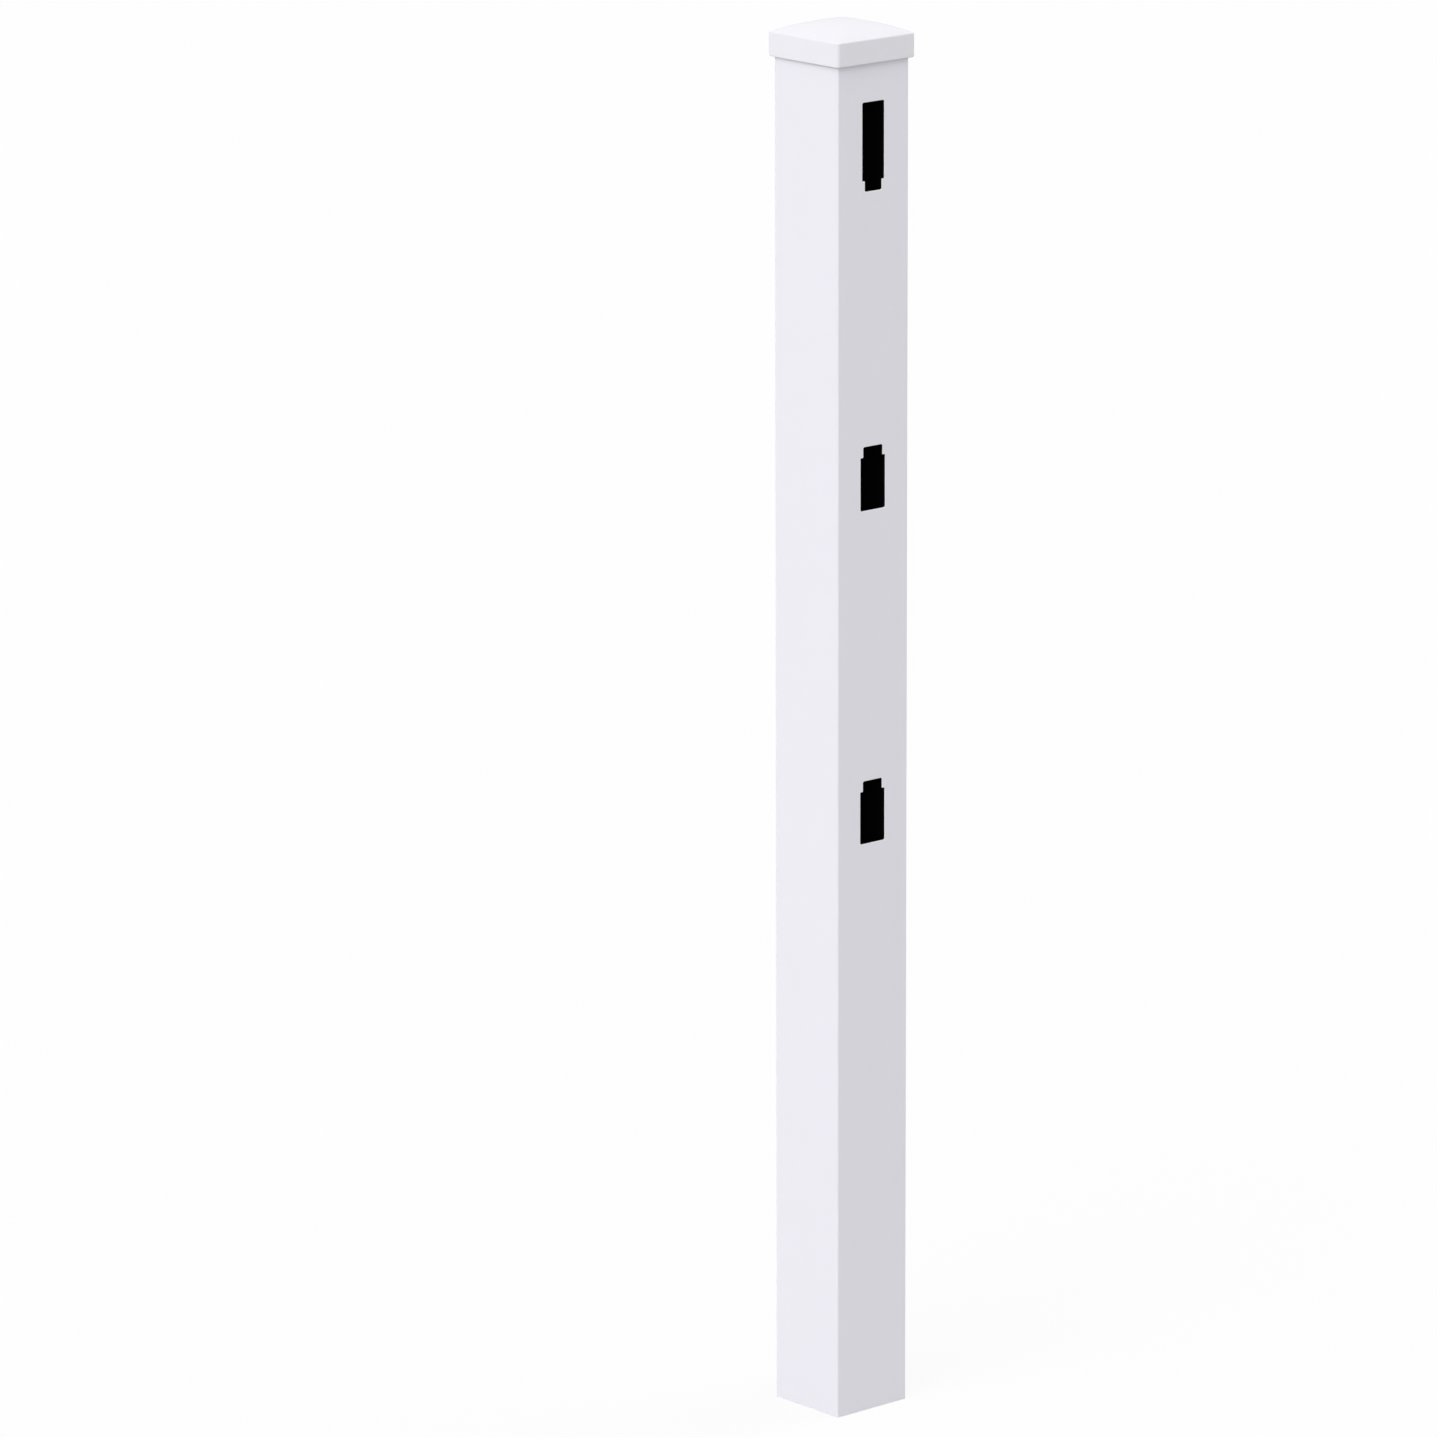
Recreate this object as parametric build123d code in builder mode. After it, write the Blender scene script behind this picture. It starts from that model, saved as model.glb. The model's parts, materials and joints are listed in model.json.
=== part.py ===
from build123d import *
import os

# A square hollow fence post of extruded vinyl, with three keyhole pockets for rail ends
# routed through one face, and a moulded cap with a crowned four-sided roof.
# Sizes are in millimetres. The post stands on its open foot at z = 0, centred on the
# Z axis. The routed face looks along -Y.

# Post tube
post_width = 127.0
post_length = 1905.0
post_wall = 3.8
post_outer_radius = 2.4
post_inner_radius = 1.6

# Top rail pocket: a tall body with a narrower tail under it
top_body_width = 39.4
top_body_height = 106.0
top_tail_width = 30.2
top_tail_height = 14.5
top_pocket_drop = 82.0  # from the post's upper end down to the pocket

# Middle and bottom rail pockets: a body with a narrower neck over it
low_body_width = 44.5
low_body_height = 73.0
low_neck_width = 34.8
low_neck_height = 14.5
middle_pocket_height = 1268.0  # from the post's foot up to the pocket
bottom_pocket_height = 806.0

pocket_corner_radius = 2.5
pocket_shoulder_radius = 1.0

# Cap shell
cap_overhang = 6.35  # from the post's face out to the skirt's face
cap_wall = 3.0
cap_skirt_height = 32.5  # from the lip up to the eaves
cap_crown_height = 18.5  # from the eaves up to the peak
cap_crown_bulge = 4.4  # how far each roof slope swells over a straight one
cap_corner_radius = 5.0
cap_inner_radius = 2.0
cap_eaves_radius = 2.0
cap_lip_radius = 1.5

# Ribs inside the skirt: they grip the post's faces and stop its upper end
ribs_per_side = 3
rib_spacing = 42.0
rib_thickness = 2.0
rib_lead_in = 5.0  # plain skirt under each rib, above the lip
rib_clearance = 0.3  # between a rib and the post's face
rib_stop_reach = 3.0  # how far a rib reaches in over the post's end
post_end_drop = 3.0  # from the eaves down to the post's upper end

post_half = post_width / 2
post_bore = post_width - 2 * post_wall
cap_width = post_width + 2 * cap_overhang
cap_half = cap_width / 2
eaves_z = post_length + post_end_drop
lip_z = eaves_z - cap_skirt_height
peak_z = eaves_z + cap_crown_height

os.makedirs("parts", exist_ok=True)


def pocket_outline(body_width, body_height, neck_width, neck_height):
    # A rectangle with a narrower one on it, standing on the sketch's origin.
    with BuildSketch() as outline:
        Rectangle(body_width, body_height, align=(Align.CENTER, Align.MIN))
        with Locations((0, body_height)):
            Rectangle(neck_width, neck_height, align=(Align.CENTER, Align.MIN))
        levels = outline.vertices().group_by(Axis.Y)
        shoulders = levels[1].sort_by(Axis.X)
        fillet(shoulders[1:-1], radius=pocket_shoulder_radius)
        levels = outline.vertices().group_by(Axis.Y)
        fillet(levels[0] + levels[-1], radius=pocket_corner_radius)
    return outline.sketch


def roof_outline(foot_z, inset):
    # The cap seen from one side: upright skirt, eaves, and two swelling slopes that
    # meet at the peak. The whole outline shrinks by the inset.
    with BuildSketch() as outline:
        with BuildLine():
            Polyline((-cap_half, eaves_z), (-cap_half, foot_z), (cap_half, foot_z), (cap_half, eaves_z))
            SagittaArc((cap_half, eaves_z), (0, peak_z), -cap_crown_bulge)
            SagittaArc((0, peak_z), (-cap_half, eaves_z), -cap_crown_bulge)
        make_face()
        if inset > 0:
            offset(amount=-inset)
        else:
            eaves = outline.vertices().group_by(Axis.Y)[1]
            fillet(eaves, radius=cap_eaves_radius)
    return outline.sketch


# Post tube: one extrusion, with the pockets cut through its front wall
top_outline = pocket_outline(top_body_width, top_body_height, top_tail_width, top_tail_height)
low_outline = pocket_outline(low_body_width, low_body_height, low_neck_width, low_neck_height)

with BuildPart() as post_tube:
    with BuildSketch():
        RectangleRounded(post_width, post_width, post_outer_radius)
        RectangleRounded(post_bore, post_bore, post_inner_radius, mode=Mode.SUBTRACT)
    extrude(amount=post_length)
    with BuildSketch(Plane.XZ.offset(post_half)):
        with Locations((0, middle_pocket_height), (0, bottom_pocket_height)):
            add(low_outline)
        with Locations((0, post_length - top_pocket_drop)):
            add(top_outline, rotation=180)
    extrude(amount=-post_half, mode=Mode.SUBTRACT)

# Cap core: the space inside the shell, less the ribs that stand in it
core_half = cap_half - cap_wall
rib_face = post_half + rib_clearance
rib_foot_z = lip_z + rib_lead_in
rib_stop = post_half - rib_stop_reach
core_outline = roof_outline(lip_z - 2 * cap_wall, cap_wall)

with BuildPart() as side_ribs:
    with BuildSketch(Plane.YZ.offset(-rib_thickness / 2)):
        with BuildLine():
            Polyline(
                (-core_half, rib_foot_z),
                (-rib_face, rib_foot_z + core_half - rib_face),
                (-rib_face, post_length),
                (-rib_stop, post_length),
                (-rib_stop, peak_z),
                (-cap_half, peak_z),
                (-cap_half, rib_foot_z),
                close=True,
            )
        make_face()
    extrude(amount=rib_thickness)

with BuildPart() as cap_core:
    with BuildSketch(Plane.XZ.offset(-cap_half)):
        add(core_outline)
    extrude(amount=cap_width)
    with BuildSketch(Plane.YZ.offset(-cap_half)):
        add(core_outline)
    extrude(amount=cap_width, mode=Mode.INTERSECT)
    fillet(cap_core.edges().filter_by(Axis.Z), radius=cap_inner_radius)
    with PolarLocations(0, 4):
        with GridLocations(rib_spacing, 0, ribs_per_side, 1):
            add(side_ribs.part, mode=Mode.SUBTRACT)

# Cap: the outer shell, with the core taken out of it
cap_outline = roof_outline(lip_z, 0)

with BuildPart() as post_cap:
    with BuildSketch(Plane.XZ.offset(-cap_half)):
        add(cap_outline)
    extrude(amount=cap_width)
    with BuildSketch(Plane.YZ.offset(-cap_half)):
        add(cap_outline)
    extrude(amount=cap_width, mode=Mode.INTERSECT)
    with BuildSketch(Plane.XY.offset(lip_z)):
        with GridLocations(cap_width, cap_width, 2, 2):
            Rectangle(2 * cap_corner_radius, 2 * cap_corner_radius)
        RectangleRounded(cap_width, cap_width, cap_corner_radius, mode=Mode.SUBTRACT)
    extrude(amount=peak_z - lip_z, mode=Mode.SUBTRACT)
    lip = post_cap.faces().sort_by(Axis.Z)[0]
    fillet(lip.edges(), radius=cap_lip_radius)
    add(cap_core.part, mode=Mode.SUBTRACT)

post_tube.part.label = "post_tube"
export_step(post_tube.part, "parts/post_tube.step")

post_cap.part.label = "post_cap"
export_step(post_cap.part, "parts/post_cap.step")
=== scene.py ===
import json
import math
import bpy
import numpy as np
from mathutils import Matrix, Quaternion, Vector


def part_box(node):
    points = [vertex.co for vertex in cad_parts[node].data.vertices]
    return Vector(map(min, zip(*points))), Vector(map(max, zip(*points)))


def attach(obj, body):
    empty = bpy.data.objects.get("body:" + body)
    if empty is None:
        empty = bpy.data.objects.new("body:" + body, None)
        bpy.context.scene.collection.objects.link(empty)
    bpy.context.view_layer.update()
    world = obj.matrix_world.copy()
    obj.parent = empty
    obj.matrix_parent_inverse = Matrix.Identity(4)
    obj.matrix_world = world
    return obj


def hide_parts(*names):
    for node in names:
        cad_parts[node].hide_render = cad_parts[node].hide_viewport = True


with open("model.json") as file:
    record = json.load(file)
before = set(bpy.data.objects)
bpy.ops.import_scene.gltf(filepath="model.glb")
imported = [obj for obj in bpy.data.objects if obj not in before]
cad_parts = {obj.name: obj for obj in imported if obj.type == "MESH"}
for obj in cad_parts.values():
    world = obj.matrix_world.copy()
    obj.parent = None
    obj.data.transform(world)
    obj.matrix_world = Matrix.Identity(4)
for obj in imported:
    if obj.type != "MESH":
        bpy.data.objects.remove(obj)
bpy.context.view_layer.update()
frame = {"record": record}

# A hollow vinyl fence post with three keyhole pockets for rail ends, and its moulded cap. Lengths are in
# metres, and the post stands on its open foot with the routed face towards -Y


# Frame readings: everything below is placed from these

openings = {o["name"]: np.array(o["box_m"]) for o in frame["record"]["physics"]["openings"]}
tubeHigh = np.array(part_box("post_tube")[1])
capLow, capHigh = (np.array(corner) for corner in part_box("post_cap"))
postLength = tubeHigh[2]
postHalf = tubeHigh[0]
capHalf = capHigh[0]


# Mesh helpers

weldSteps = 1e7  # to a metre; points that fall on the same step are one


def quarterTurn(steps):
    # angles from 0 to a right angle
    return np.linspace(0, math.pi / 2, steps + 1)


def fourTurns(x, y):
    # a quarter of a loop and its turns by one, two and three right angles, joined into the whole loop
    return np.stack([np.concatenate([x, -y, -x, y], -1), np.concatenate([y, x, -y, -x], -1)], -1)


def atHeight(points, z):
    # a row of (x, y) points lifted to height z
    return np.column_stack([points, np.full(len(points), z)])


def gridQuads(rows, columns, wrap):
    # Quads: one for each cell of a grid of points. They face along the cross product of the way along a row
    # and the way to the next row
    start = np.arange(rows - 1)[:, None] * columns
    here = np.arange(columns if wrap else columns - 1)[None, :]
    beside = (here + 1) % columns
    corners = (start + here, start + beside, start + columns + beside, start + columns + here)
    return np.stack(np.broadcast_arrays(*corners), -1).reshape(-1, 4)


class Skin:
    # gathers grids of points into one mesh

    def __init__(self):
        self.points = []
        self.quads = []
        self.slots = []
        self.count = 0

    def add(self, grid, slot=0, wrap=False, flip=False):
        # grid is rows x columns x 3; slot is one number, or one for each row of quads
        rows, columns = grid.shape[:2]
        quads = gridQuads(rows, columns, wrap)
        perRow = np.broadcast_to(np.asarray(slot), (rows - 1,))
        self.slots.append(np.repeat(perRow, len(quads) // (rows - 1)))
        self.quads.append((quads[:, ::-1] if flip else quads) + self.count)
        self.points.append(grid.reshape(-1, 3))
        self.count += rows * columns

    def welded(self):
        # Weld: points on the same step are one. A quad that loses one corner by it becomes a triangle, and
        # one that loses more is dropped. It returns points, all faces' corners, face sizes and face slots
        points = np.concatenate(self.points)
        steps = np.round(points * weldSteps)
        _, first, merged = np.unique(steps, axis=0, return_index=True, return_inverse=True)
        quads = merged.reshape(-1)[np.concatenate(self.quads)]
        isCorner = quads != np.roll(quads, -1, axis=1)
        sizes = isCorner.sum(1)
        isFace = sizes > 2
        slots = np.concatenate(self.slots)[isFace]
        return points[first], quads[isFace][isCorner[isFace]], sizes[isFace], slots

    def piece(self, name, materials):
        # the welded mesh as an object, smooth all over, with its materials in the order of the slots
        points, corners, sizes, slots = self.welded()
        mesh = bpy.data.meshes.new(name)
        mesh.vertices.add(len(points))
        mesh.vertices.foreach_set("co", points.ravel())
        mesh.loops.add(len(corners))
        mesh.loops.foreach_set("vertex_index", corners.astype(np.int32))
        mesh.polygons.add(len(sizes))
        mesh.polygons.foreach_set("loop_start", (np.cumsum(sizes) - sizes).astype(np.int32))
        for material in materials:
            mesh.materials.append(material)
        mesh.polygons.foreach_set("material_index", slots.astype(np.int32))
        mesh.polygons.foreach_set("use_smooth", np.ones(len(sizes), bool))
        mesh.update(calc_edges=True)
        piece = bpy.data.objects.new(name, mesh)
        bpy.context.scene.collection.objects.link(piece)
        return piece


# Patterns that the finishes share

pattern = {
    "streakLow": 0.35,         # noise at which the streaks' mask is 0
    "streakHigh": 0.65,        # and at which it is 1
    "grainDetail": 2.0,
    "plainMask": 0.5,          # mask at which a toned colour is as written
}


def newGroup(name, inputs, outputs):
    # an empty node group with its two end nodes; inputs and outputs are given by name and kind
    group = bpy.data.node_groups.new(name, "ShaderNodeTree")
    for side, sockets in (("INPUT", inputs), ("OUTPUT", outputs)):
        for label, kind in sockets.items():
            group.interface.new_socket(label, in_out=side, socket_type="NodeSocket" + kind)
    return group, group.nodes.new("NodeGroupInput"), group.nodes.new("NodeGroupOutput")


def mathNode(nodes, links, operation, *values):
    # each value is a number, or a socket to link
    node = nodes.new("ShaderNodeMath")
    node.operation = operation
    for socket, value in zip(node.inputs, values):
        if isinstance(value, bpy.types.NodeSocket):
            links.new(value, socket)
        else:
            socket.default_value = value
    return node.outputs[0]


def makeStreaks():
    # Streaks: noise on object coordinates squeezed sideways and drawn out upwards. The mask stretches the
    # middle of the noise to run from 0 to 1
    inputs = {"Across": "Float", "Along": "Float", "Detail": "Float"}
    group, inside, outside = newGroup("streaks", inputs, {"Height": "Float", "Mask": "Float"})
    nodes, links = group.nodes, group.links
    place = nodes.new("ShaderNodeTexCoord")
    stretch = nodes.new("ShaderNodeCombineXYZ")
    links.new(inside.outputs["Across"], stretch.inputs["X"])
    links.new(inside.outputs["Across"], stretch.inputs["Y"])
    links.new(inside.outputs["Along"], stretch.inputs["Z"])
    scaled = nodes.new("ShaderNodeVectorMath")
    scaled.operation = "MULTIPLY"
    links.new(place.outputs["Object"], scaled.inputs[0])
    links.new(stretch.outputs[0], scaled.inputs[1])
    noise = nodes.new("ShaderNodeTexNoise")
    noise.inputs["Scale"].default_value = 1.0
    links.new(scaled.outputs[0], noise.inputs["Vector"])
    links.new(inside.outputs["Detail"], noise.inputs["Detail"])
    links.new(noise.outputs["Fac"], outside.inputs["Height"])
    ramp = nodes.new("ShaderNodeMapRange")
    ramp.inputs["From Min"].default_value = pattern["streakLow"]
    ramp.inputs["From Max"].default_value = pattern["streakHigh"]
    links.new(noise.outputs["Fac"], ramp.inputs["Value"])
    links.new(ramp.outputs["Result"], outside.inputs["Mask"])
    return group


def makeGrain():
    # Grain: two sizes of even noise, a slow swell and a share of a fine peel, added up
    inputs = {"Swell": "Float", "Peel": "Float", "Blend": "Float"}
    group, inside, outside = newGroup("grain", inputs, {"Height": "Float", "Slow": "Float"})
    nodes, links = group.nodes, group.links
    place = nodes.new("ShaderNodeTexCoord")
    found = {}
    for label in ("Swell", "Peel"):
        noise = nodes.new("ShaderNodeTexNoise")
        noise.inputs["Detail"].default_value = pattern["grainDetail"]
        links.new(place.outputs["Object"], noise.inputs["Vector"])
        links.new(inside.outputs[label], noise.inputs["Scale"])
        found[label] = noise.outputs["Fac"]
    fine = mathNode(nodes, links, "MULTIPLY", found["Peel"], inside.outputs["Blend"])
    height = mathNode(nodes, links, "ADD", found["Swell"], fine)
    links.new(height, outside.inputs["Height"])
    links.new(found["Swell"], outside.inputs["Slow"])
    return group


def makeTone():
    # Tone: a colour times 1 plus the drift times the mask's distance from its middle
    inputs = {"Color": "Color", "Mask": "Float", "Drift": "Float"}
    group, inside, outside = newGroup("tone", inputs, {"Color": "Color"})
    nodes, links = group.nodes, group.links
    centred = mathNode(nodes, links, "SUBTRACT", inside.outputs["Mask"], pattern["plainMask"])
    factor = mathNode(nodes, links, "MULTIPLY_ADD", centred, inside.outputs["Drift"], 1.0)
    scaled = nodes.new("ShaderNodeVectorMath")
    scaled.operation = "SCALE"
    links.new(inside.outputs["Color"], scaled.inputs[0])
    links.new(factor, scaled.inputs["Scale"])
    links.new(scaled.outputs[0], outside.inputs["Color"])
    return group


streaks = makeStreaks()
grain = makeGrain()
tone = makeTone()


def placeGroup(nodes, group, **values):
    # a node of the group, with a finish's own values
    node = nodes.new("ShaderNodeGroup")
    node.node_tree = group
    for label, value in values.items():
        node.inputs[label].default_value = value
    return node


# Finishes

whiteVinyl = (0.852, 0.844, 0.908)

extrudedLook = {
    "color": whiteVinyl,
    "drift": 0.012,            # how far the brightness wanders
    "ior": 1.53,
    "specular": 0.5,
    "rough": 0.40,
    "roughSpread": 0.07,       # added to it in the streaks
    "swell": 14.0,             # sizes of the patterns, as repeats to a metre
    "peel": 700.0,
    "peelBlend": 0.05,
    "across": 1100.0,
    "along": 2.5,
    "detail": 3.0,
    "lineShare": 0.35,         # share of the streaks in the bump
    "bump": 0.5,
    "relief": 0.00012,
}
mouldedLook = dict(
    extrudedLook, color=(0.851, 0.843, 0.888), specular=0.15, rough=0.5, roughSpread=0.05, swell=30.0,
    peelBlend=0.16, across=160.0, along=160.0, lineShare=0.1, relief=0.0001,
)
# Cut faces: whiter than the outer face, partly the core's own colour, partly a painted highlight along the
# routed and sawn edges
cutLook = dict(
    extrudedLook, color=(0.94, 0.935, 0.955), rough=0.55, roughSpread=0.15, across=420.0, along=420.0,
    lineShare=1.2, relief=0.0002,
)
# the bore's near black is painted shade for a hollow that gets little light; its mouth keeps the vinyl's
# white
boreShadeLook = {
    "deep": (0.010, 0.010, 0.012),
    "mouth": whiteVinyl,
    "fadeStart": 0.004,        # heights over the foot between which the painted shade comes in and darkens the bore
    "fadeEnd": 0.22,
    "rough": 0.6,
    "specular": 0.1,
}


def vinyl(name, look):
    # White vinyl: toned colour, streaked gloss, and a shallow bump of streaks and grain
    material = bpy.data.materials.new(name)
    material.use_nodes = True
    nodes, links = material.node_tree.nodes, material.node_tree.links
    shader = nodes["Principled BSDF"]
    shader.inputs["IOR"].default_value = look["ior"]
    shader.inputs["Specular IOR Level"].default_value = look["specular"]
    peel = placeGroup(nodes, grain, Swell=look["swell"], Peel=look["peel"], Blend=look["peelBlend"])
    lines = placeGroup(nodes, streaks, Across=look["across"], Along=look["along"], Detail=look["detail"])
    shade = placeGroup(nodes, tone, Color=(*look["color"], 1), Drift=look["drift"])
    links.new(peel.outputs["Slow"], shade.inputs["Mask"])
    links.new(shade.outputs["Color"], shader.inputs["Base Color"])
    mask = lines.outputs["Mask"]
    rough = mathNode(nodes, links, "MULTIPLY_ADD", mask, look["roughSpread"], look["rough"])
    links.new(rough, shader.inputs["Roughness"])
    lineHeight = mathNode(nodes, links, "MULTIPLY", lines.outputs["Height"], look["lineShare"])
    height = mathNode(nodes, links, "ADD", lineHeight, peel.outputs["Height"])
    bump = nodes.new("ShaderNodeBump")
    bump.inputs["Strength"].default_value = look["bump"]
    bump.inputs["Distance"].default_value = look["relief"]
    links.new(height, bump.inputs["Height"])
    links.new(bump.outputs["Normal"], shader.inputs["Normal"])
    return material


def paintedShadeVinyl(name, look):
    # Bore: white at the open foot, with painted shade falling to near black up the hollow
    material = bpy.data.materials.new(name)
    material.use_nodes = True
    nodes, links = material.node_tree.nodes, material.node_tree.links
    shader = nodes["Principled BSDF"]
    shader.inputs["Roughness"].default_value = look["rough"]
    shader.inputs["Specular IOR Level"].default_value = look["specular"]
    place = nodes.new("ShaderNodeTexCoord")
    split = nodes.new("ShaderNodeSeparateXYZ")
    links.new(place.outputs["Object"], split.inputs[0])
    fade = nodes.new("ShaderNodeMapRange")
    fade.interpolation_type = "SMOOTHERSTEP"
    fade.inputs["From Min"].default_value = look["fadeStart"]
    fade.inputs["From Max"].default_value = look["fadeEnd"]
    links.new(split.outputs["Z"], fade.inputs["Value"])
    mix = nodes.new("ShaderNodeMix")
    mix.data_type = "RGBA"
    mix.inputs["A"].default_value = (*look["mouth"], 1)
    mix.inputs["B"].default_value = (*look["deep"], 1)
    links.new(fade.outputs["Result"], mix.inputs["Factor"])
    links.new(mix.outputs["Result"], shader.inputs["Base Color"])
    return material


extrudedVinyl = vinyl("extruded_vinyl", extrudedLook)
mouldedVinyl = vinyl("moulded_vinyl", mouldedLook)
cutVinyl = vinyl("cut_vinyl", cutLook)
# the bore's finish paints the hollow's shade into its colour
boreShadePaint = paintedShadeVinyl("bore_vinyl", boreShadeLook)
print("materials made")


# Post tube

tube = {
    "outerRadius": 0.0024,
    "innerRadius": 0.0016,
    "cornerSteps": 8,
    "support": 0.0006,         # narrow flat beside each rounding, which keeps the faces flat in shade
    "boxMargin": 0.0006,       # the bore's stated box stands this far inside the wall
    "pocketMargin": 0.001,     # and each pocket's box this far inside its edge
    "pocketRadius": 0.0025,
    "shoulderRadius": 0.001,
    "arcSteps": 6,             # to each corner of a pocket
    "lineSteps": 4,            # to each straight side of a pocket
    "patchMargin": 0.012,      # face above and below a pocket that belongs to its patch
    "routedEase": 0.0007,      # routed edges on the outer face
    "innerEase": 0.0003,       # and on the bore's face
    "easePad": 0.00015,        # narrow flat beside each routed edge
    "easeSteps": 4,
    "endEase": 0.0004,         # sawn ends
    "rowHeight": 0.12,
}
boreHalf = openings["post_bore"][1][0] + tube["boxMargin"]
postWall = postHalf - boreHalf
# the bore's slot carries painted shade: near black inside the hollow and on the pockets' walls
faceSlot, cutSlot, boreShadeSlot = range(3)  # order of the tube's materials
perCorner = tube["arcSteps"] + tube["lineSteps"]  # points of an outline from one corner to the next
sideStarts = np.array([0, 1, 4, 5, 8]) * perCorner  # where an outline's bottom, right, top and left start


def pocketCorners(name):
    # the keyhole's corners, anticlockwise from the lower left, as seen from in front
    body, neck = openings[name], openings[name + "_neck"]
    margin = tube["pocketMargin"]
    wide, narrow = body[1][0] + margin, neck[1][0] + margin
    low, high = body[0][2] - margin, body[1][2] + margin
    if neck[1][2] > body[1][2]:
        right = [(wide, low), (wide, high), (narrow, high), (narrow, neck[1][2] + margin)]
    else:
        right = [(narrow, neck[0][2] - margin), (narrow, low), (wide, low), (wide, high)]
    left = [(-x, z) for x, z in reversed(right)]
    return np.array(left[-1:] + right + left[:-1])


def pocketOutline(corners):
    # Outline: each right-angled corner turns on a quarter circle, and straight runs join the arcs. It
    # returns the points and the directions from them into the wall, from the middle of the first corner
    before, after = np.roll(corners, 1, axis=0), np.roll(corners, -1, axis=0)
    toBefore = (before - corners) / np.linalg.norm(before - corners, axis=1)[:, None]
    toAfter = (after - corners) / np.linalg.norm(after - corners, axis=1)[:, None]
    inward = toBefore[:, 0] * toAfter[:, 1] - toBefore[:, 1] * toAfter[:, 0] > 0
    isShoulder = np.array([0, 0, 1, 1, 0, 0, 1, 1], bool)  # two on the right, then two on the left
    radius = np.where(isShoulder, tube["shoulderRadius"], tube["pocketRadius"])[:, None, None]
    turn = quarterTurn(tube["arcSteps"])[None, :, None]
    spoke = toAfter[:, None] * np.cos(turn) + toBefore[:, None] * np.sin(turn)
    arcs = corners[:, None] + radius * ((toBefore + toAfter)[:, None] - spoke)
    outward = np.where(inward[:, None, None], spoke, -spoke)
    share = np.linspace(0, 1, tube["lineSteps"] + 1)[1:-1][None, :, None]
    start, end = arcs[:, -1:], np.roll(arcs[:, :1], -1, axis=0)
    points = np.concatenate([arcs, start + (end - start) * share], 1)
    lineOutward = np.repeat(outward[:, -1:], tube["lineSteps"] - 1, axis=1)
    outward = np.concatenate([outward, lineOutward], 1)
    middle = tube["arcSteps"] // 2
    return np.roll(points.reshape(-1, 2), -middle, 0), np.roll(outward.reshape(-1, 2), -middle, 0)


def faceRow(flat):
    # places across the flat of a face, as many as an outline's bottom or top has points
    inner = np.linspace(-1, 1, perCorner - 1) * (flat - tube["support"])
    return np.concatenate([[-flat], inner, [flat]])


def patchEdge(points, flat, low, high):
    # Patch edge: the outline's points carried out to a rectangle, in the same order. The sides climb as the
    # outline's right side does along its own length. It returns the points and the levels up a side
    edge = np.empty_like(points)
    steps = np.linalg.norm(np.diff(points, axis=0, append=points[:1]), axis=1)
    run = np.concatenate([[0], np.cumsum(steps)])
    bottom, right, top, left, close = sideStarts
    climb = (run[right:top] - run[right]) / (run[top] - run[right])
    levels = np.concatenate([low + climb * (high - low), [high]])
    row = faceRow(flat)
    edge[bottom:right] = np.column_stack([row[:-1], np.full(perCorner, low)])
    edge[right:top] = np.column_stack([np.full(top - right, flat), levels[:-1]])
    edge[top:left] = np.column_stack([row[:0:-1], np.full(perCorner, high)])
    edge[left:close] = np.column_stack([np.full(close - left, -flat), levels[:0:-1]])
    return edge, levels


def atDepth(points, depth):
    # a ring of (x, z) points at a depth behind the outer face
    return np.column_stack([points[:, 0], np.full(len(points), depth - postHalf), points[:, 1]])


def pocketPatch(skin, name):
    # Patch: rings that run from a rectangle on the outer face in to the pocket, over its eased edge,
    # through the wall, over the inner edge and out across the bore's face
    points, outward = pocketOutline(pocketCorners(name))
    low = points[:, 1].min() - tube["patchMargin"]
    high = points[:, 1].max() + tube["patchMargin"]
    outerFlat, innerFlat = postHalf - tube["outerRadius"], boreHalf - tube["innerRadius"]
    outerEdge, levels = patchEdge(points, outerFlat, low, high)
    innerEdge, _ = patchEdge(points, innerFlat, low, high)
    centre = np.array([0, (low + high) / 2])
    shrink = 1 - tube["support"] / outerFlat
    turn = quarterTurn(tube["easeSteps"])
    ease, lip, pad = tube["routedEase"], tube["innerEase"], tube["easePad"]
    # Each ring's distance from the outline into the wall, and its depth behind the outer face
    front = [(ease + pad, 0)]
    routed = [(ease * (1 - math.sin(t)), ease * (1 - math.cos(t))) for t in turn] + [(0, ease + pad)]
    inside = [(0, postWall - lip - pad)]
    inside += [(lip * (1 - math.cos(t)), postWall - lip * (1 - math.sin(t))) for t in turn]
    inside += [(lip + pad, postWall)]
    rings = [atDepth(outerEdge, 0), atDepth(centre + (outerEdge - centre) * shrink, 0)]
    rings += [atDepth(points + outward * reach, depth) for reach, depth in front + routed + inside]
    rings += [atDepth(centre + (innerEdge - centre) * shrink, postWall), atDepth(innerEdge, postWall)]
    counts = [2 + len(front), len(routed) - 1, len(inside) + 2]  # past its eased edge a pocket's wall takes the bore's painted shade
    skin.add(np.stack(rings), np.repeat([faceSlot, cutSlot, boreShadeSlot], counts), wrap=True)
    return low, high, levels


def wallLoop(half, radius):
    # Loop: a square with rounded corners, anticlockwise from the front face's left end. The front row comes
    # first, and narrow strips lie beside each corner
    flat, pad = half - radius, tube["support"]
    turn = quarterTurn(tube["cornerSteps"])
    x = np.concatenate([flat + radius * np.sin(turn), [half, half]])
    y = np.concatenate([-flat - radius * np.cos(turn), [pad - flat, flat - pad]])
    around = fourTurns(x, y)[1:-3]  # the last side is the front row
    front = np.column_stack([faceRow(flat), np.full(perCorner + 1, -half)])
    return np.concatenate([front, around])


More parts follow.
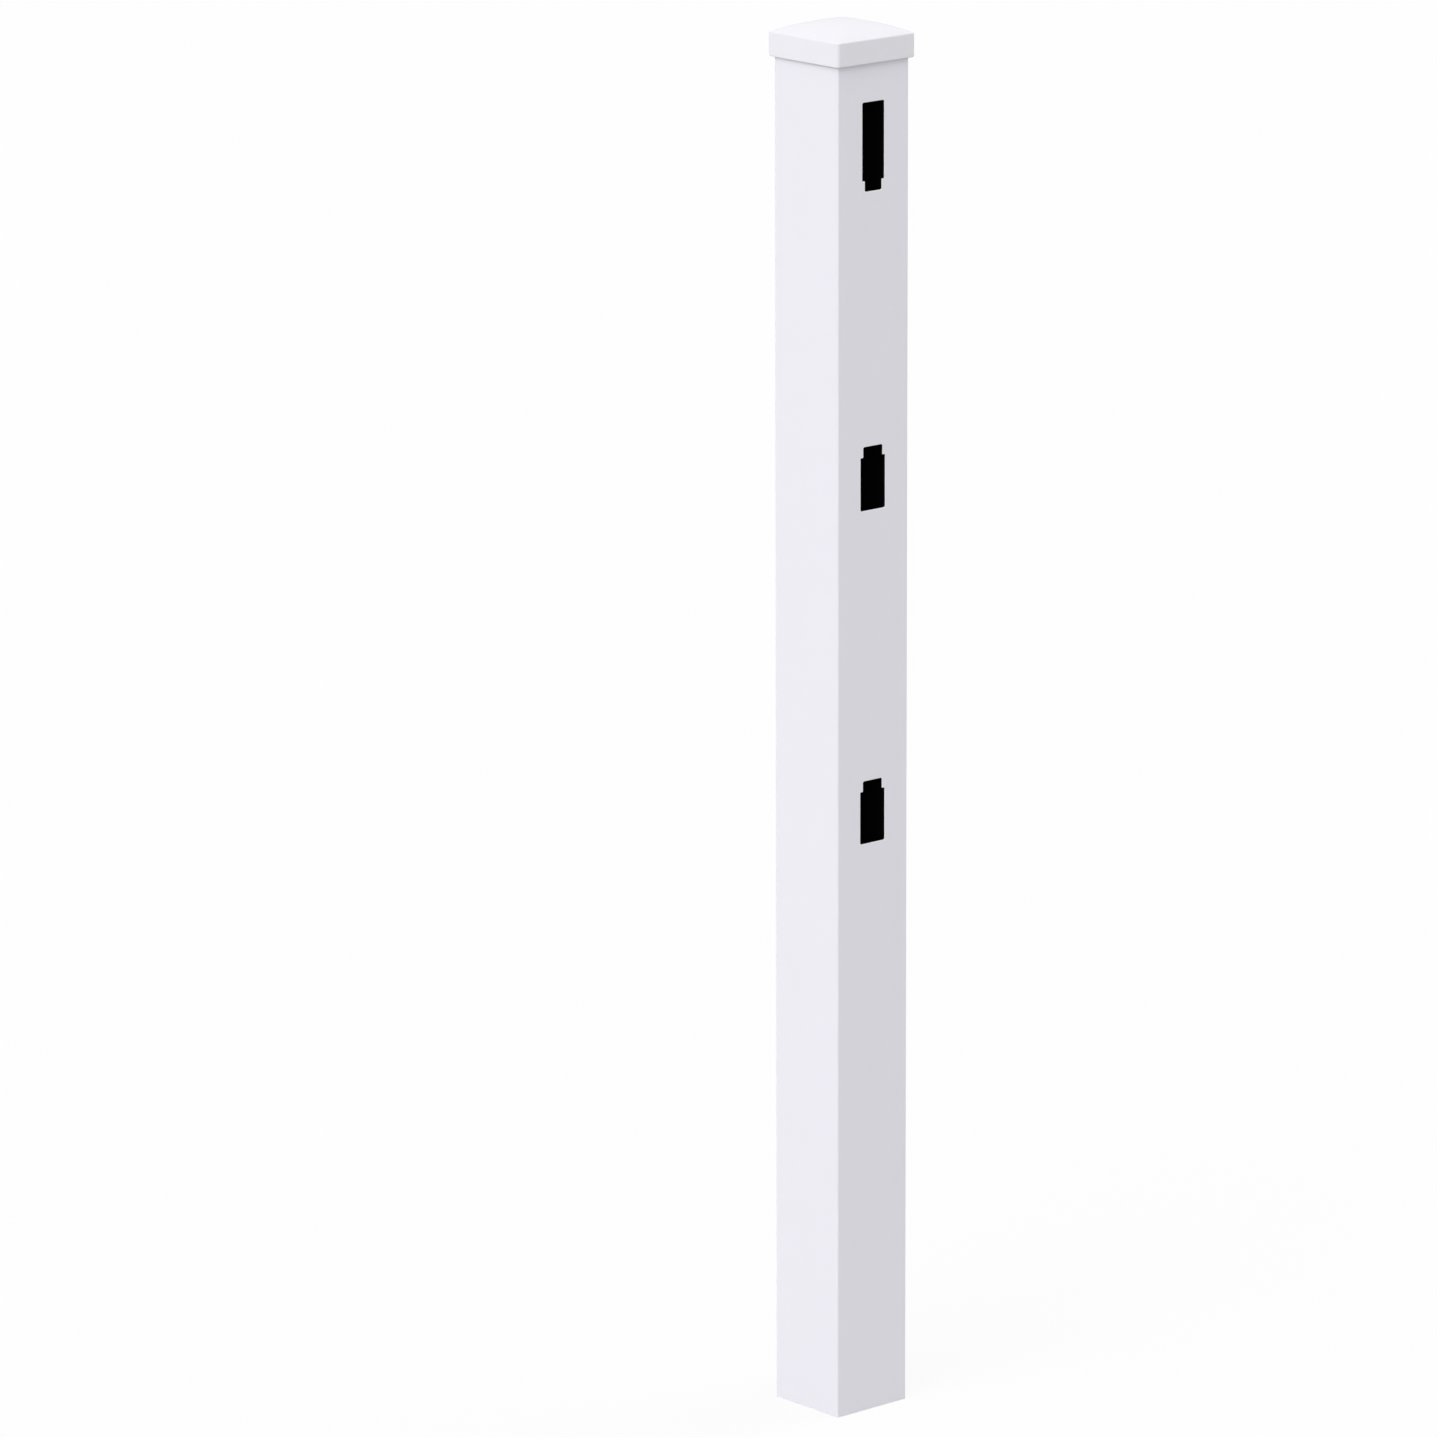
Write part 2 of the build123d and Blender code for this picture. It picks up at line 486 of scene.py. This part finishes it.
def plainStretches(patches):
    # heights of the rows in each stretch of the front below, between and above the pockets' patches
    pad, ease = tube["support"], tube["endEase"]
    starts = [ease] + [high for _, high, _ in patches]
    ends = [low for low, _, _ in patches] + [postLength - ease]
    stretches = []
    for start, end in zip(starts, ends):
        count = max(2, math.ceil((end - start) / tube["rowHeight"]))
        stretches.append(np.concatenate([[start], np.linspace(start + pad, end - pad, count), [end]]))
    return stretches


def addWall(skin, half, radius, stretches, heights, slot, flip=False):
    # the wall's outer face or the bore's: one sheet round the sides and the back, and the front's stretches
    loop = wallLoop(half, radius)
    front, around = loop[:perCorner + 1], np.concatenate([loop[perCorner:], loop[:1]])
    skin.add(np.stack([atHeight(around, z) for z in heights]), slot, flip=flip)
    for rows in stretches:
        skin.add(np.stack([atHeight(front, z) for z in rows]), slot, flip=flip)


def addEnds(skin):
    # Ends: loops that run from the bore's face over its eased edge, across the cut and over the outer edge
    ease, turn = tube["endEase"], quarterTurn(tube["easeSteps"])
    inset, drop = ease * (1 - np.cos(turn)), ease * (1 - np.sin(turn))
    loops = [(wallLoop(boreHalf + i, tube["innerRadius"] + i), d) for i, d in zip(inset, drop)]
    loops += [(wallLoop(postHalf - i, tube["outerRadius"] - i), d) for i, d in zip(inset[::-1], drop[::-1])]
    skin.add(np.stack([atHeight(loop, d) for loop, d in loops]), cutSlot, wrap=True)
    skin.add(np.stack([atHeight(loop, postLength - d) for loop, d in loops[::-1]]), cutSlot, wrap=True)


def makeTube():
    # Tube: a patch round each pocket, the rest of the two faces in level rows, and the sawn ends
    skin = Skin()
    pockets = [name for name in openings if name.endswith("_pocket")]
    pockets.sort(key=lambda name: openings[name][0][2])  # from the lowest up
    patches = [pocketPatch(skin, name) for name in pockets]
    stretches = plainStretches(patches)
    heights = np.concatenate(stretches + [levels for _, _, levels in patches])
    heights = np.unique(np.round(heights * weldSteps) / weldSteps)  # those on the same step are one
    addWall(skin, postHalf, tube["outerRadius"], stretches, heights, faceSlot)
    addWall(skin, boreHalf, tube["innerRadius"], stretches, heights, boreShadeSlot, flip=True)
    addEnds(skin)
    return skin.piece("post_tube_skin", [extrudedVinyl, cutVinyl, boreShadePaint])


postTube = makeTube()
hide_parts("post_tube")
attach(postTube, "root")
print("post tube made,", len(postTube.data.polygons), "faces")


# Post cap

cap = {
    "wall": 0.003,
    "skirtHeight": 0.0325,
    "crownBulge": 0.0044,      # swell of each roof slope over a straight one
    "cornerRadius": 0.005,
    "innerRadius": 0.002,
    "hipSoftening": 0.35,      # how fast the hips grow rounder towards the peak
    "eavesRadius": 0.002,
    "lipRadius": 0.0015,
    "lipInnerRadius": 0.0004,
    "skirtPad": 0.001,         # narrow flats at the skirt's foot and under the eaves
    "roofRows": 34,
    "rowPower": 0.8,           # below 1 it draws the roof's rows together near the eaves
    "arcSteps": 6,
    "cornerSteps": 8,
    "sideReach": 0.98,         # share of each side's flat between its two inner points
    "ribSpacing": 0.042,
    "ribThickness": 0.002,
    "ribClearance": 0.0003,
    "ribLeadIn": 0.005,
    "ribReach": 0.003,
    "ribBury": 0.25,           # share of the wall that a rib's back is sunk in
}
lipHeight = capLow[2]
peakHeight = capHigh[2]
eavesHeight = lipHeight + cap["skirtHeight"]

# A roof slope is an arc over the chord from the eaves to the peak
chord = math.hypot(capHalf, peakHeight - eavesHeight)
roofRadius = (chord ** 2 / 4 + cap["crownBulge"] ** 2) / (2 * cap["crownBulge"])
chordMiddle = np.array([capHalf / 2, (eavesHeight + peakHeight) / 2])
chordSquare = np.array([peakHeight - eavesHeight, capHalf]) / chord
roofCentre = chordMiddle - chordSquare * (roofRadius - cap["crownBulge"])


def roofHeight(reach, inset):
    # height of the roof's arc, drawn in by the inset, at a distance from the axis
    return roofCentre[1] + np.sqrt((roofRadius - inset) ** 2 - (reach - roofCentre[0]) ** 2)


def capProfile():
    # Profile: from the roof's underside down the inside, round the lip, up the skirt, over the eaves and up
    # to the peak. It returns the half width, the height and the corner radius of each row
    wall, inHalf = cap["wall"], capHalf - cap["wall"]
    turn = quarterTurn(cap["arcSteps"])
    climb = np.linspace(0, 1, cap["roofRows"]) ** cap["rowPower"]
    under = inHalf * climb
    inner = [under, roofHeight(under, wall)]
    lipIn, lipOut = cap["lipInnerRadius"], cap["lipRadius"]
    lip = np.hstack([
        [inHalf + lipIn * (1 - np.cos(turn)), lipHeight + lipIn * (1 - np.sin(turn))],
        [capHalf - lipOut * (1 - np.sin(turn)), lipHeight + lipOut * (1 - np.cos(turn))],
    ])
    bend = cap["eavesRadius"]
    bendX = capHalf - bend
    bendZ = roofHeight(bendX, bend)
    lean = math.atan2(bendZ - roofCentre[1], bendX - roofCentre[0])
    rise = np.linspace(0, lean, cap["arcSteps"] + 1)
    eaves = [bendX + bend * np.cos(rise), bendZ + bend * np.sin(rise)]
    skirt = [[capHalf, capHalf], [lipHeight + lipOut + cap["skirtPad"], bendZ - cap["skirtPad"]]]
    over = eaves[0][-1] * climb[::-1][1:]
    outer = [over, roofHeight(over, 0)]
    half, height = np.hstack([inner, lip, skirt, eaves, outer])
    grow = np.clip((half - inHalf) / wall, 0, 1)
    edge = cap["innerRadius"] + (cap["cornerRadius"] - cap["innerRadius"]) * grow
    hips = cap["cornerRadius"] + cap["hipSoftening"] * (capHalf - half)
    isRoof = np.arange(len(half)) >= len(half) - len(over)
    radius = np.minimum(np.where(isRoof, hips, edge), half)
    return half, height, radius


def squareLoops(half, height, radius):
    # Loops: rows x points x 3, each a square with rounded corners and a point beside each corner
    half, height, radius = half[:, None], height[:, None], radius[:, None]
    flat, inner = half - radius, (half - radius) * cap["sideReach"]
    turn = quarterTurn(cap["cornerSteps"])
    x = np.hstack([flat + radius * np.sin(turn), half, half])
    y = np.hstack([-flat - radius * np.cos(turn), -inner, inner])
    loops = fourTurns(x, y)
    return np.dstack([loops, np.broadcast_to(height, loops.shape[:2])])


def addRibs(skin):
    # Ribs: upright fins inside the skirt with a sloped foot and a stop over the post's end. Each is its
    # outline on two planes, closed by fans from a middle point
    inHalf = capHalf - cap["wall"]
    face = postHalf + cap["ribClearance"]
    stop = postHalf - cap["ribReach"]
    bury = cap["wall"] * cap["ribBury"]
    foot = lipHeight + cap["ribLeadIn"]
    underStop, underSkirt = (roofHeight(reach, cap["wall"]) + bury for reach in (stop, inHalf))
    outline = np.array([
        (inHalf + bury, foot), (inHalf, foot), (face, foot + inHalf - face), (face, postLength),
        (stop, postLength), (stop, underStop), (inHalf + bury, underSkirt),
    ])
    middle = np.tile([inHalf + bury / 2, (foot + underSkirt) / 2], (len(outline), 1))
    rows = np.stack([middle, outline, outline, middle])
    sides = np.array([-1, -1, 1, 1])[:, None] * cap["ribThickness"] / 2
    for quarter in range(4):
        spin = np.array(Matrix.Rotation(quarter * math.pi / 2, 3, "Z"))
        for place in (-cap["ribSpacing"], 0, cap["ribSpacing"]):
            across = np.broadcast_to(place + sides, rows.shape[:2])
            skin.add(np.dstack([across, -rows[..., 0], rows[..., 1]]) @ spin.T, wrap=True)


def makeCap():
    # Cap: one shell of square loops along the profile, and the ribs sunk into it
    skin = Skin()
    skin.add(squareLoops(*capProfile()), wrap=True)
    addRibs(skin)
    return skin.piece("post_cap_skin", [mouldedVinyl])


postCap = makeCap()
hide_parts("post_cap")
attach(postCap, "root")
print("post cap made,", len(postCap.data.polygons), "faces")


# Stage: floor, sky and camera

stage = {
    "floorHalf": 60.0,
    "floorColor": (0.5, 0.5, 0.5),
    "glowShare": 0.75,         # share of the floor that is seen as plain white; the rest takes the shadow
    "glow": 1.145,
    "white": 0.99,             # the sky as it is seen, apart from the light that it gives
    "skyBase": 0.593,
    "lobePower": 12.0,
    "keyLobe": (3.82, 192.2, 30.2),    # strength, azimuth and elevation
    "fillLobe": (2.17, -12.9, 35.8),
}


def seenRays(nodes, links):
    # 1 for rays that show a surface as it looks: from the camera, a reflection or a pane
    path = nodes.new("ShaderNodeLightPath")
    mirror = mathNode(nodes, links, "MAXIMUM", path.outputs["Is Camera Ray"], path.outputs["Is Glossy Ray"])
    return mathNode(nodes, links, "MAXIMUM", mirror, path.outputs["Is Transmission Ray"])


def makeFloor():
    # a wide square of matte grey, mixed with plain white where it is seen
    size = stage["floorHalf"]
    corners = [(-size, -size, 0), (size, -size, 0), (size, size, 0), (-size, size, 0)]
    mesh = bpy.data.meshes.new("floor")
    mesh.from_pydata(corners, [], [(0, 1, 2, 3)])
    floor = bpy.data.objects.new("floor", mesh)
    bpy.context.scene.collection.objects.link(floor)
    material = bpy.data.materials.new("floor_white")
    material.use_nodes = True
    nodes, links = material.node_tree.nodes, material.node_tree.links
    nodes.remove(nodes["Principled BSDF"])
    matte = nodes.new("ShaderNodeBsdfDiffuse")
    matte.inputs["Color"].default_value = (*stage["floorColor"], 1)
    glow = nodes.new("ShaderNodeEmission")
    glow.inputs["Strength"].default_value = stage["glow"]
    mix = nodes.new("ShaderNodeMixShader")
    share = mathNode(nodes, links, "MULTIPLY", seenRays(nodes, links), stage["glowShare"])
    links.new(share, mix.inputs[0])
    links.new(matte.outputs[0], mix.inputs[1])
    links.new(glow.outputs[0], mix.inputs[2])
    links.new(mix.outputs[0], nodes["Material Output"].inputs["Surface"])
    mesh.materials.append(material)


def makeSky():
    # Sky: even light and soft lobes, each its strength times a power of the cosine to its middle
    world = bpy.data.worlds.new("studio")
    bpy.context.scene.world = world
    world.use_nodes = True
    nodes, links = world.node_tree.nodes, world.node_tree.links
    place = nodes.new("ShaderNodeTexCoord")
    strength = stage["skyBase"]
    for peak, azimuth, elevation in (stage["keyLobe"], stage["fillLobe"]):
        a, e = math.radians(azimuth), math.radians(elevation)
        dot = nodes.new("ShaderNodeVectorMath")
        dot.operation = "DOT_PRODUCT"
        dot.inputs[1].default_value = (math.cos(a) * math.cos(e), math.sin(a) * math.cos(e), math.sin(e))
        links.new(place.outputs["Generated"], dot.inputs[0])
        facing = mathNode(nodes, links, "MAXIMUM", dot.outputs["Value"], 0.0)
        lobe = mathNode(nodes, links, "POWER", facing, stage["lobePower"])
        strength = mathNode(nodes, links, "MULTIPLY_ADD", lobe, peak, strength)
    light = nodes["Background"]
    light.inputs["Color"].default_value = (1, 1, 1, 1)
    links.new(strength, light.inputs["Strength"])
    plain = nodes.new("ShaderNodeBackground")
    plain.inputs["Color"].default_value = (1, 1, 1, 1)
    plain.inputs["Strength"].default_value = stage["white"]
    mix = nodes.new("ShaderNodeMixShader")
    links.new(seenRays(nodes, links), mix.inputs[0])
    links.new(light.outputs[0], mix.inputs[1])
    links.new(plain.outputs[0], mix.inputs[2])
    links.new(mix.outputs[0], nodes["World Output"].inputs["Surface"])


view = {
    "azimuth": -41.23,
    "elevation": 13.78,
    "distance": 11.777,
    "lens": 217.37,
    "sensor": 36.0,
    "clipEnd": 400.0,          # past the floor's far edge
    "aimAcross": -0.16659,     # aim point, sideways from the post's axis in the picture plane
    "aimHeight": 0.9677,
    "roll": -0.174,            # turn about its own axis; below 0 is clockwise, seen from behind it
}


def makeCamera():
    # Camera: stands off its aim point by the distance, turned to face it and then leaned by the roll
    a, e = math.radians(view["azimuth"]), math.radians(view["elevation"])
    back = Vector((math.sin(a) * math.cos(e), -math.cos(a) * math.cos(e), math.sin(e)))
    aim = Vector((math.cos(a) * view["aimAcross"], math.sin(a) * view["aimAcross"], view["aimHeight"]))
    camera = bpy.data.objects.new("camera", bpy.data.cameras.new("camera"))
    camera.data.sensor_width = view["sensor"]
    camera.data.lens = view["lens"]
    camera.data.clip_end = view["clipEnd"]
    camera.location = aim + back * view["distance"]
    camera.rotation_mode = "QUATERNION"
    roll = Quaternion((0, 0, 1), math.radians(view["roll"]))
    camera.rotation_quaternion = back.to_track_quat("Z", "Y") @ roll
    bpy.context.scene.collection.objects.link(camera)
    bpy.context.scene.camera = camera


makeFloor()
makeSky()
makeCamera()
bpy.context.scene.view_settings.view_transform = "Standard"

bpy.context.view_layer.update()
print("stage made")
